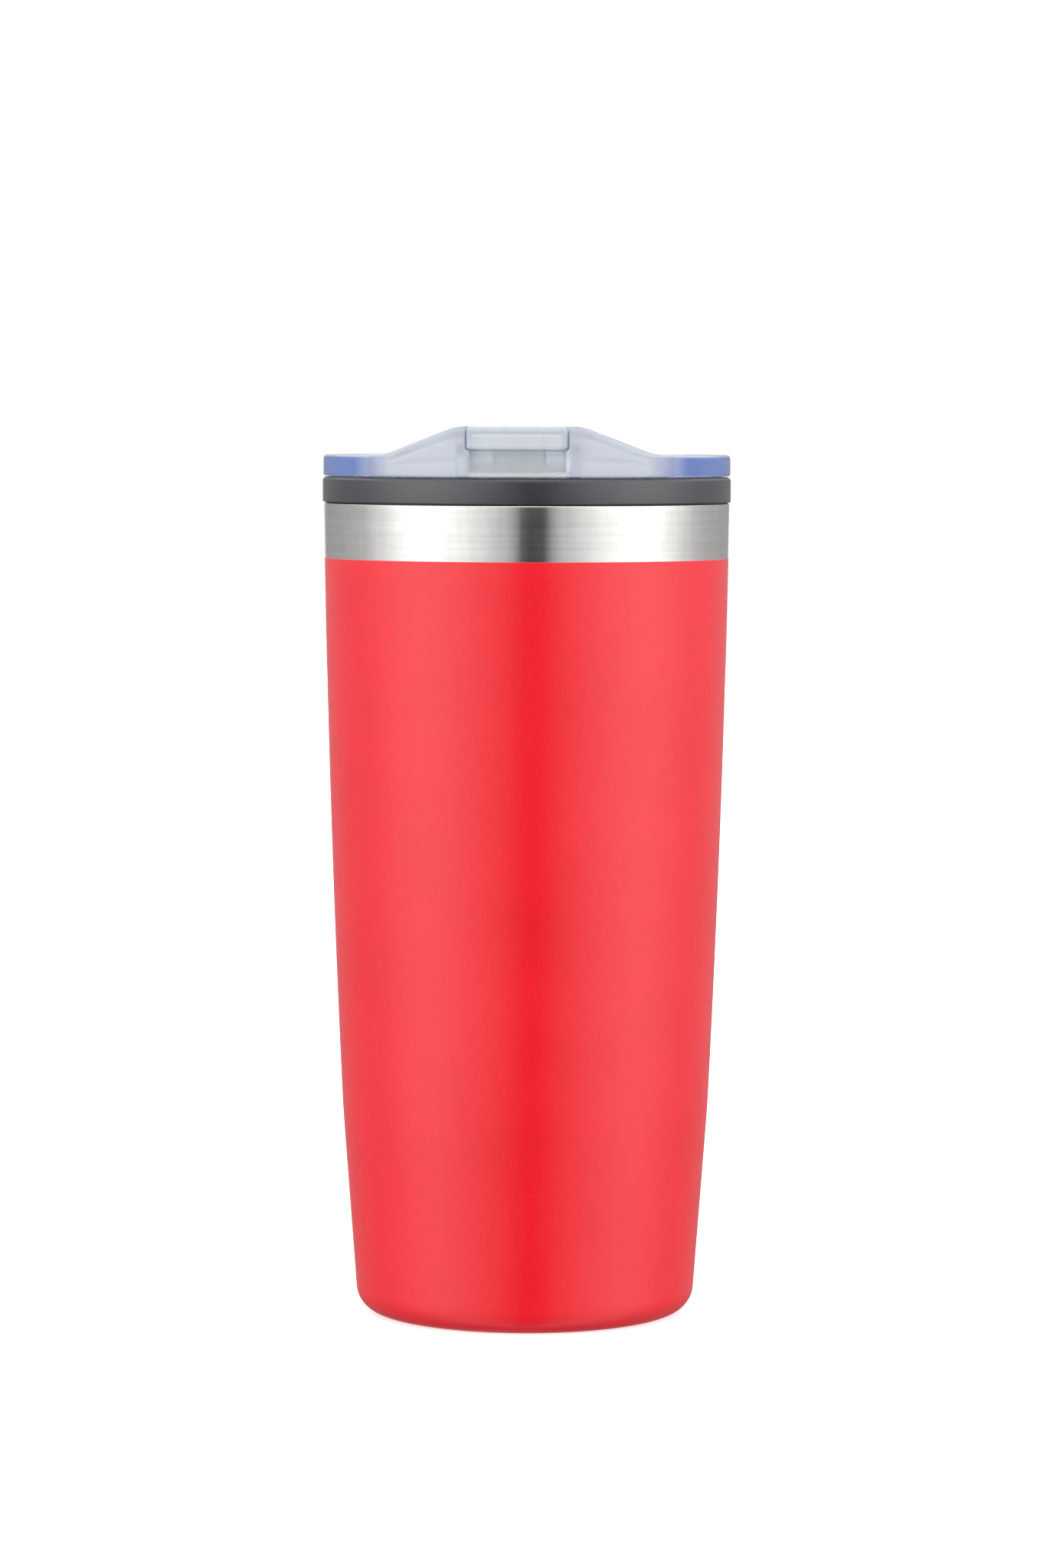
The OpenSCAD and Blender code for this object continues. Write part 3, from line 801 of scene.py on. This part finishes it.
# ---- The flap -------------------------------------------------------------------------------
FLAP_HALF, FLAP_SKIN, FLAP_WALL, FLAP_UNDER = 10.4, 1.6, 1.2, 181.1
FLAP_FRONT, TAB_BACK, AXLE_END = LID_R - 0.2, SILL_Y + 0.35, CHANNEL_HALF + 1.5
PAD_LOW, PAD_HIGH, FOOT_TOP = DECK_TOP + 0.1, DECK_TOP + 1.3, DECK_TOP + 2.3
PLUG_END = DECK_TOP - 0.9
FOOT, PEG, PEG_END = (14, 6), (11, 3), DECK_TOP - 0.4
STOPPER_PLUG, STEM_R, NUB_R, NUB_END = (13.2, 5.2), 1.2, 0.9, DECK_TOP - 0.6


def flap_distance(x, y, z):
    """The flap's signed distance: a hollow cap with its tab, hinge, axles, feet and stems."""
    r, across = np.hypot(x, y), np.abs(x)
    from_hinge = np.hypot(y - HINGE_Y, z - HINGE_Z)
    top = (z - hump_height(0 * x, y)) * STEEPNESS
    step_back = smax(TAB_BACK - y, TAB_Z - z - 3, 0.2)
    under = smin(TAB_Z - z, smax(FLAP_UNDER - z, step_back, 0.3), 0.2)
    flap = smax(smax(across - FLAP_HALF, r - FLAP_FRONT, 0.7), under, 0.7)
    flap = smax(flap, top, 1.3)
    flap = smax(flap, y - HINGE_Y, 0.3)
    hollow = smax(across - FLAP_HALF + FLAP_WALL, top + FLAP_SKIN, 0.6)
    hollow = smax(hollow, smax(r - FLAP_FRONT + FLAP_SKIN, y - HINGE_Y + 3.0, 0.3), 0.6)
    flap = smax(flap, -hollow, 0.35)
    flap = smin(flap, smax(from_hinge - KNUCKLE_R, across - FLAP_HALF, 0.5), 0.6)
    flap = smin(flap, smax(from_hinge - AXLE_R, across - AXLE_END, 0.3), 0.2)
    below_top = top + FLAP_SKIN / 2
    round_vent = np.hypot(x, y - VENT_Y)
    feet = np.minimum(obround(x, y - DRINK_Y, FOOT), round_vent - VENT_PAD_R)
    feet = smax(smax(feet, PAD_HIGH - z, 0.3), z - FOOT_TOP, 0.4)
    peg = smax(smax(obround(x, y - DRINK_Y, PEG), PEG_END - z, 0.3), below_top, 0.3)
    stem = smax(smax(round_vent - STEM_R, PAD_HIGH - z, 0.3), below_top, 0.3)
    return smin(flap, smin(feet, np.minimum(peg, stem), 0.4), 0.4)


def stopper_distance(x, y, z):
    """The stopper's signed distance: a pad over the drink hole and a plug in it, on the peg."""
    y = y - DRINK_Y
    pad = smax(smax(obround(x, y, STOPPER_PAD), z - PAD_HIGH, 0.4), PAD_LOW - z, 0.4)
    plug = smax(smax(obround(x, y, STOPPER_PLUG), z - PAD_HIGH, 0.4), PLUG_END - z, 0.6)
    hole = smax(obround(x, y, PEG), PEG_END - z, 0.1)
    return smax(smin(pad, plug, 0.3), -hole, 0.1)


def make_flap(material, silicone):
    step = 0.25
    reach = CHANNEL_HALF + 2.5
    low, high = (-reach, -LID_R - 0.5, PEG_END - 1), (reach, HINGE_Y + 3, TOP_Z + 1)
    points, faces, normals = moulded(flap_distance, low, high, step)
    mesh_piece("flap_shell", points, faces, "flap", ["drink_flap"], "clear_flap", material, normals)
    low, high = (-9.2, DRINK_Y - 5.2, PLUG_END - 0.7), (9.2, DRINK_Y + 5.2, PAD_HIGH + 0.8)
    points, faces, normals = moulded(stopper_distance, low, high, 0.2)
    mesh_piece("drink_stopper", points, faces, "flap", ["flap_stopper"], "stopper_silicone",
               silicone, normals)
    nub = rounded([
        (0, NUB_END, 0), (NUB_R, NUB_END, 0.3), (NUB_R, PAD_LOW, 0.1), (VENT_PAD_R, PAD_LOW, 0.4),
        (VENT_PAD_R, PAD_HIGH, 0.4), (0, PAD_HIGH, 0),
    ])
    points, faces = turned(nub, 64, (0.0, VENT_Y))
    mesh_piece("vent_nub", points, faces, "flap", ["vent_stopper"], "stopper_silicone", silicone)


# ---- The scene ------------------------------------------------------------------------------
make_camera()
make_light()
make_floor()
bpy.context.scene.view_settings.view_transform = "Standard"
bpy.context.scene.cycles.max_bounces = 48
bpy.context.scene.cycles.glossy_bounces = 32
bpy.context.scene.cycles.transmission_bounces = 32

make_shell(steel_material())
make_disc(disc_material())
make_coat(coat_material())
make_liner(liner_material())
silicone = silicone_material()
make_rings(silicone)
# Colours in turn: the edge colour (painted slant shade), the pale outer wall, and the deep blue
# (painted shade on the flange left and right)
make_lid(clear_material("clear_lid_plastic", (0.80, 0.85, 0.98), (0.95, 0.97, 1.0),
                        (0.18, 0.27, 0.64)))
make_flap(clear_material("clear_flap_plastic", (0.85, 0.90, 1.0), (0.96, 0.98, 1.0),
                         (0.6, 0.7, 0.95)), silicone)
